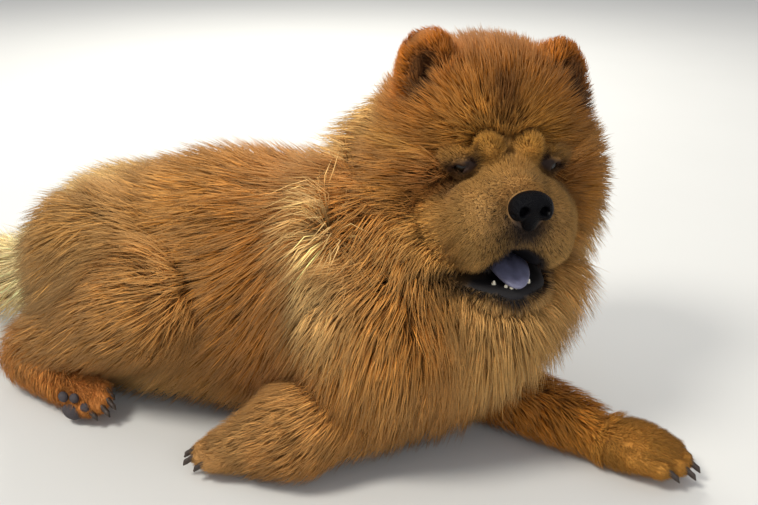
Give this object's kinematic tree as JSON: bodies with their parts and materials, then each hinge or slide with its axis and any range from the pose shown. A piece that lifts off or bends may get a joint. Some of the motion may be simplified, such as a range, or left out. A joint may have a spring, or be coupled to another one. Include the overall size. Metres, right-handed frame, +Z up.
{
  "type": "dog, chow chow, lying",
  "caption": "Adult red chow chow lying on its chest with its head turned to its right and its mouth a little open, a still life-size model.",
  "frame": {"origin": "centre of the bounding box's base, on the floor", "axes": "+X from the tail towards the chest, along the longest extent; +Y towards the dog's left; +Z up"},
  "size_m": [1.0838, 0.4602, 0.4563],
  "materials": {
    "coat": "matte, long red-gold hair",
    "coat_pale": "matte, long pale gold hair",
    "coat_leg": "matte, shorter cinnamon hair",
    "eye": "glossy",
    "nose": "moist, finely pebbled",
    "tongue": "moist",
    "claw": "satin horn"
  },
  "bodies": {
    "root": {"chest": "coat", "claw_fore_left_1": "claw", "claw_fore_left_2": "claw", "claw_fore_left_3": "claw", "claw_fore_left_4": "claw", "claw_fore_right_1": "claw", "claw_fore_right_2": "claw", "claw_fore_right_3": "claw", "claw_fore_right_4": "claw", "claw_hind_left_1": "claw", "claw_hind_left_2": "claw", "claw_hind_left_3": "claw", "claw_hind_left_4": "claw", "claw_hind_right_1": "claw", "claw_hind_right_2": "claw", "claw_hind_right_3": "claw", "claw_hind_right_4": "claw", "ear_left": "coat", "ear_right": "coat", "eye_left": "eye", "eye_right": "eye", "forearm_left": "coat_leg", "forearm_right": "coat_leg", "forepaw_left": "coat_leg", "forepaw_right": "coat_leg", "head": "coat", "hindfoot_left": "coat_leg", "hindfoot_right": "coat_leg", "hindquarters": "coat", "loin": "coat", "lower_jaw": "coat", "muzzle": "coat", "neck": "coat_pale", "nose": "nose", "shank_left": "coat_leg", "shank_right": "coat_leg", "tail": "coat_pale", "thigh_left": "coat", "thigh_right": "coat", "tongue": "tongue"}
  },
  "joints": []
}
